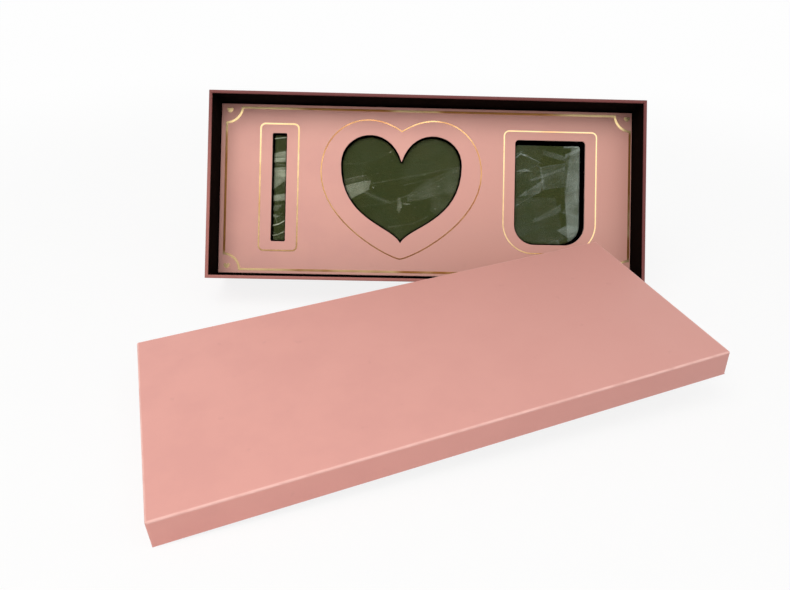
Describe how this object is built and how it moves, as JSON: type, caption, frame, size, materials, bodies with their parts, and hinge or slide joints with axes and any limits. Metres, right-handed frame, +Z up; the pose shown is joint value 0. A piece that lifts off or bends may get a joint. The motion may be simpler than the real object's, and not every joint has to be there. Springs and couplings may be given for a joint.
{
  "type": "gift box with a windowed display platform",
  "caption": "Rectangular rigid paper gift box standing on its long edge, with a lift-off lid resting on its rim and a foil-lined platform whose windows hold wrapped flower foam.",
  "frame": {"origin": "middle of the long back lower edge that the leaning base stands on, on the floor", "axes": "+X along the box's length to the viewer's right, +Y away from the viewer, +Z up"},
  "size_m": [0.4968, 0.465, 0.2074],
  "materials": {
    "greyboard": "matte grey board",
    "rose_paper": "satin wrapping paper",
    "blush_paper": "satin wrapping paper",
    "blush_face": "satin coated paper",
    "platform_card": "matte card",
    "black_lining": "matte black paper",
    "pale_lining": "matte paper",
    "gold_foil": "hot-stamped gold foil",
    "flower_foam": "matte open-cell foam",
    "clear_film": "thin crinkled clear film"
  },
  "bodies": {
    "base": {"base_board": "greyboard", "base_wrap": "rose_paper", "base_lining": "black_lining", "platform_board": "platform_card", "platform_skirt": "platform_card", "platform_face": "blush_face", "frame_foil": "gold_foil", "slot_foil": "gold_foil", "heart_foil": "gold_foil", "pocket_foil": "gold_foil", "corner_heart_foils": "gold_foil"},
    "slot_brick": {"slot_foam": "flower_foam", "slot_film": "clear_film"},
    "heart_brick": {"heart_foam": "flower_foam", "heart_film": "clear_film"},
    "pocket_brick": {"pocket_foam": "flower_foam", "pocket_film": "clear_film"},
    "lid": {"lid_board": "greyboard", "lid_wrap": "blush_paper", "lid_lining": "pale_lining"}
  },
  "joints": [
    {"name": "lid_lift", "type": "slide", "parent": "base", "child": "lid", "axis": [0, 0, 1], "range_m": [0, 0.25]},
    {"name": "slot_brick_pull", "type": "slide", "parent": "base", "child": "slot_brick", "axis": [0, -0.891, 0.454], "range_m": [0, 0.1]},
    {"name": "heart_brick_pull", "type": "slide", "parent": "base", "child": "heart_brick", "axis": [0, -0.891, 0.454], "range_m": [0, 0.1]},
    {"name": "pocket_brick_pull", "type": "slide", "parent": "base", "child": "pocket_brick", "axis": [0, -0.891, 0.454], "range_m": [0, 0.1]}
  ]
}
